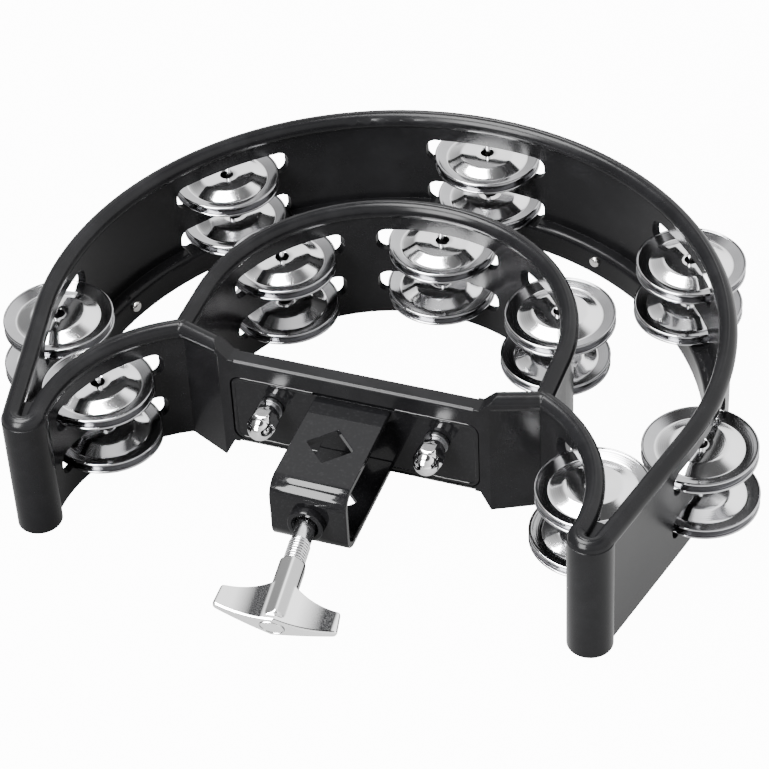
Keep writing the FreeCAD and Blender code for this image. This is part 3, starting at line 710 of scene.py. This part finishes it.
def add_rear_fasteners():
    """Flat washers and pan heads with a hexagonal socket behind the bar."""
    washers = bmesh.new()
    bolts = bmesh.new()
    thick = REAR_WASHER_THICKNESS
    washer = [(3.2, 0.0), (6.0, 0.0), (6.2, 0.2), (6.2, thick - 0.2), (6.0, thick), (3.3, thick),
              (3.2, thick - 0.1)]
    head = [(0.0, -16.4), (2.6, -16.4), (2.95, -16.0), (2.95, -1.0), (3.0, 0.0), (5.2, 0.0),
            (5.4, 0.2), (5.4, 1.2)]
    head += arc_points(3.2, 1.4, 2.2, 5.0, 88.0, 8)
    socket = [(2.31, 3.3), (2.3, 3.6), (2.0, 3.55), (2.0, 3.6 - SOCKET_DEPTH),
              (0.0, 3.4 - SOCKET_DEPTH), (0.0, 0.5), (2.31, 0.5)]
    flip = Matrix.Rotation(math.radians(180.0), 4, "X")
    for side in (-1.0, 1.0):
        turned(washers, washer, 64, place_along_y(side * BOLT_X, BAR_REAR, BOLT_Z) @ flip)
        seat = place_along_y(side * BOLT_X, BAR_REAR + thick, BOLT_Z) @ flip
        turned(bolts, head + [(2.3, 3.6), (2.31, 3.3)], 72, seat)
        turned(bolts, socket, 72, seat, 6, SOCKET_HALF_ACROSS)
    add_piece("flat_washers", washers, ZINC, "body", "rear_washers")
    add_piece("pan_head_bolts", bolts, ZINC, "body", "bracket_bolts")


def thread_radius(turns, crest, root):
    """Radius of a rounded thread at a share of one turn."""
    wave = abs(2.0 * (turns - math.floor(turns)) - 1.0)
    level = min(1.0, max(0.0, (wave - 0.08) / 0.72))
    return root + (crest - root) * level


def helix_tube(bm, place, start, end, crest, root, shank, steps_round=64, rows_per_turn=10):
    """Threaded rod from start to end, smooth on the shank, whose groove gets material 1 for painted
    shade.
    """
    rows = int((end - start) / PITCH * rows_per_turn)
    rings = []
    for row in range(rows + 1):
        z = start + (end - start) * row / rows
        fade = min(1.0, (z - start) / 0.8, (end - z) / 0.8)
        bare = min(1.0, max(0.0, min(z - shank[0], shank[1] - z) / 0.5 + 0.5))
        ring = []
        for step in range(steps_round):
            angle = 2.0 * math.pi * step / steps_round
            radius = thread_radius(z / PITCH + step / steps_round, crest, root)
            radius = root + (radius - root) * max(0.0, fade)
            radius += (SHANK_RADIUS - radius) * bare
            point = Vector((radius * math.cos(angle), radius * math.sin(angle), z)) * MM
            ring.append(bm.verts.new(place @ point))
        rings.append(ring)
    back = place.inverted()
    # Faces below the thread's middle radius take material 1, the painted shade in the groove
    for face in skin_rings(bm, rings):
        reach = sum(math.hypot(*(back @ corner.co).xy) for corner in face.verts) / 4.0
        if reach < 0.5 * (crest + root) * MM:
            face.material_index = 1


def add_boss():
    """Painted collar on the strap, with a rounded mouth."""
    bm = bmesh.new()
    outline = [(4.25, 0.0), (6.55, 0.0), (6.75, 0.25), (6.75, 2.9)]
    outline += arc_points(6.25, 3.0, 0.5, 0.0, 90.0, 5)
    outline += [(5.6, 3.5)]
    outline += arc_points(5.35, 3.25, 0.25, 90.0, 180.0, 4)
    outline += [(4.9, 2.9), (4.3, 2.4), (4.25, 2.2)]
    turned(bm, outline, 96, place_along_y(0.0, PIVOT.y, PIVOT.z))
    add_piece("threaded_collar", bm, PAINT, "body", "clamp_boss", 50.0)


# ---------------------------------------------------------------- wing bolt

def add_screw():
    """Threaded rod that ends inside the hub, with a neck that holds the swivel foot."""
    bm = bmesh.new()
    place = wing_place() @ place_along_y(0.0, SCREW_INNER_END, PIVOT.z)
    length = SCREW_INNER_END - HUB_FRONT + SCREW_OVERLAP
    shank = tuple(SCREW_INNER_END - end for end in SHANK)
    helix_tube(bm, place, 0.0, length, SCREW_RADIUS, SCREW_RADIUS - THREAD_DEPTH, shank)
    neck = [(0.0, -1.9), (2.2, -1.9), (2.5, -1.6), (2.5, 0.4), (0.0, 0.4)]
    turned(bm, neck, 48, place)
    piece = add_piece("clamp_thread", bm, THREAD_CHROME, "wing_bolt", "clamp_screw",
                      60.0)
    # Material 1 is the painted shade in the thread's groove
    piece.data.materials.append(THREAD_GROOVE_SHADE)


def add_foot():
    """Grooved foot that turns on the neck of the screw."""
    bm = bmesh.new()
    place = wing_place() @ place_along_y(0.0, FOOT_REAR, PIVOT.z)
    outline = [(0.0, 0.25), (3.4, 0.25), (3.8, 0.0), (5.0, 0.0), (5.5, 0.5), (5.5, 1.4), (5.2, 1.7),
               (5.2, 2.0), (5.5, 2.3), (5.5, 2.9), (5.2, 3.2), (2.7, 3.2), (2.6, 3.1), (2.6, 1.0),
               (0.0, 1.0)]
    turned(bm, outline, 72, place)
    add_piece("swivel_foot", bm, ZINC, "foot", "pressure_foot")


def wing_section(share):
    """One lengthwise station of the wings: (x, front y, back y, half height)."""
    x = share * WING_HALF
    bow = share * share
    front = WING_FACE + (WING_TIP_OUTER - WING_FACE) * bow
    near = 1.0 - min(1.0, abs(share))
    back = WING_TIP_INNER + 0.6 * near + 8.2 * near ** 2.6
    rise = WING_CENTRE_HALF_HEIGHT - WING_TIP_HALF_HEIGHT
    height = WING_TIP_HALF_HEIGHT + rise * (1.0 - 0.955 * abs(share)) ** 1.95
    past = max(0.0, 1.0 - near * WING_HALF / WING_TIP_ROUND)
    shrink = WING_TIP_ROUND * (1.0 - math.sqrt(1.0 - past * past))
    return x, front + shrink, back - shrink, max(0.2, height - 0.9 * shrink)


def add_wing_loft(bm, place):
    """The two wings as one loft from tip to tip, with rounded edges."""
    rings = []
    stations = 64
    for index in range(stations + 1):
        share = math.sin(0.5 * math.pi * (2.0 * index / stations - 1.0))
        x, front, back, height = wing_section(share)
        depth = 0.5 * (back - front)
        corner = min(0.7, 0.55 * height)
        ring = []
        for along, up in rounded_rectangle(depth, height, corner):
            flare = 0.35 * (along / depth) * share
            point = Vector((x - flare, 0.5 * (front + back) + along, PIVOT.z + up)) * MM
            ring.append(bm.verts.new(place @ point))
        rings.append(ring)
    skin_rings(bm, rings)


def add_handle():
    """Cast T handle: wings and six-sided hub melted together with soft edges."""
    place = wing_place()
    bm = bmesh.new()
    add_wing_loft(bm, place)
    hub = [(0.0, 0.0), (4.0, 0.0), (4.5, 0.2), (5.0, 0.8), (5.35, 1.6), (5.35, 14.0), (5.35, 27.0),
           (4.6, 28.2), (0.0, 28.3)]
    corner_up = Matrix.Rotation(math.radians(30.0), 4, "Z")
    hub_place = place @ place_along_y(0.0, HUB_FRONT, PIVOT.z) @ corner_up
    turned(bm, hub, 96, hub_place, 6, HUB_HALF_ACROSS)
    bmesh.ops.recalc_face_normals(bm, faces=bm.faces)
    piece = add_piece("wing_handle_casting", bm, CAST_CHROME, "wing_bolt", "wing_handle",
                      180.0)
    remesh = piece.modifiers.new("one_casting", "REMESH")
    remesh.mode = "VOXEL"
    remesh.voxel_size = CASTING_VOXEL * MM
    remesh.use_smooth_shade = True
    smooth = piece.modifiers.new("soft_casting", "SMOOTH")
    smooth.factor = 0.5
    smooth.iterations = 5
    mark = bmesh.new()
    outline = [(0.0, -1.0), (OVAL_HALF_LENGTH, -1.0), (OVAL_HALF_LENGTH, 0.1)]
    outline += arc_points(OVAL_HALF_LENGTH - 0.25, 0.1, 0.25, 0.0, 180.0, 6)
    outline += [(4.05, -0.02), (3.8, -0.1), (0.0, 0.06)]
    oval = Matrix.Diagonal((1.0, OVAL_FLATNESS, 1.0, 1.0))
    turned(mark, outline, 72, place @ place_along_y(0.0, WING_FACE, PIVOT.z) @ oval)
    add_piece("handle_oval", mark, CAST_CHROME, "wing_bolt", "wing_handle")


# ---------------------------------------------------------------- stage

def add_floor():
    bm = bmesh.new()
    corners = [bm.verts.new((x * FLOOR_HALF, y * FLOOR_HALF, -FLOOR_GAP))
               for x, y in ((-1, -1), (1, -1), (1, 1), (-1, 1))]
    bm.faces.new(corners)
    floor = new_object("floor", finish_mesh("floor", bm, pale_floor()))


def add_area(name, size, radiance, place):
    """Rectangular softbox that faces the object, with its width level."""
    data = bpy.data.lights.new(name, "AREA")
    data.shape = "RECTANGLE"
    data.size, data.size_y = size
    data.energy = radiance * math.pi * size[0] * size[1]
    lamp = bpy.data.objects.new(name, data)
    bpy.context.scene.collection.objects.link(lamp)
    away = (Vector(place) - Vector(LAMP_AIM)).normalized()
    up = away.cross(Vector((1.0, 0.0, 0.0))).normalized()
    across = up.cross(away)
    turn = Matrix((across, up, away)).transposed().to_4x4()
    lamp.matrix_world = Matrix.Translation(Vector(place)) @ turn


def add_world():
    """Studio surroundings: a light band round the horizon under a dark ceiling."""
    world = bpy.data.worlds.new("studio")
    bpy.context.scene.world = world
    n = Nodes(world, "Background")
    split = n.add("ShaderNodeSeparateXYZ")
    n.fill(split.inputs["Vector"], n.coords.outputs["Generated"])
    band = n.remap(split.outputs["Y"], 0.75, 2.0, -0.7, 0.6)
    right = n.remap(split.outputs["X"], 0.0, 1.0, -0.2, 0.9)
    left = n.remap(split.outputs["X"], 0.15, 1.0, -0.72, -0.34)
    ceiling = n.remap(split.outputs["Z"], 1.0, 0.05, 0.80, 0.88)
    total = n.maths("ADD", band, right)
    for share in (left, ceiling):
        total = n.maths("MULTIPLY", total, share)
    n.set(Strength=total, Color=(1.0, 1.0, 1.0))


def add_camera():
    """Camera that looks at the target from the view's direction."""
    azimuth = math.radians(VIEW_AZIMUTH)
    elevation = math.radians(VIEW_ELEVATION)
    back = Vector((math.sin(azimuth) * math.cos(elevation),
                   -math.cos(azimuth) * math.cos(elevation), math.sin(elevation)))
    right = Vector((math.cos(azimuth), math.sin(azimuth), 0.0))
    up = back.cross(right)
    axes = Matrix((right, up, back)).transposed()
    data = bpy.data.cameras.new("view")
    data.lens = VIEW_LENS
    data.sensor_width = 36.0
    data.clip_start = 0.01
    camera = bpy.data.objects.new("view", data)
    roll = Matrix.Rotation(math.radians(VIEW_ROLL), 3, "Z")
    place = Matrix.Translation(VIEW_TARGET + back * VIEW_DISTANCE)
    camera.matrix_world = place @ (axes @ roll).to_4x4()
    bpy.context.scene.collection.objects.link(camera)
    bpy.context.scene.camera = camera


coat_node("frame", PLASTIC)
for painted, edge in (("bracket_plate", 0.8), ("clamp_strap", 0.45)):
    coat_node(painted, PAINT)
    soften_node(painted, edge)
add_jingles()
add_pins()
add_bead_ridges()
add_paint_lip()
add_rivets()
add_acorn_nuts()
add_lock_washers()
add_rear_fasteners()
add_boss()
add_screw()
add_foot()
add_handle()
add_floor()
add_world()
for lamp_name, (lamp_size, lamp_radiance, lamp_place) in LAMPS.items():
    add_area(lamp_name, lamp_size, lamp_radiance, lamp_place)
add_camera()
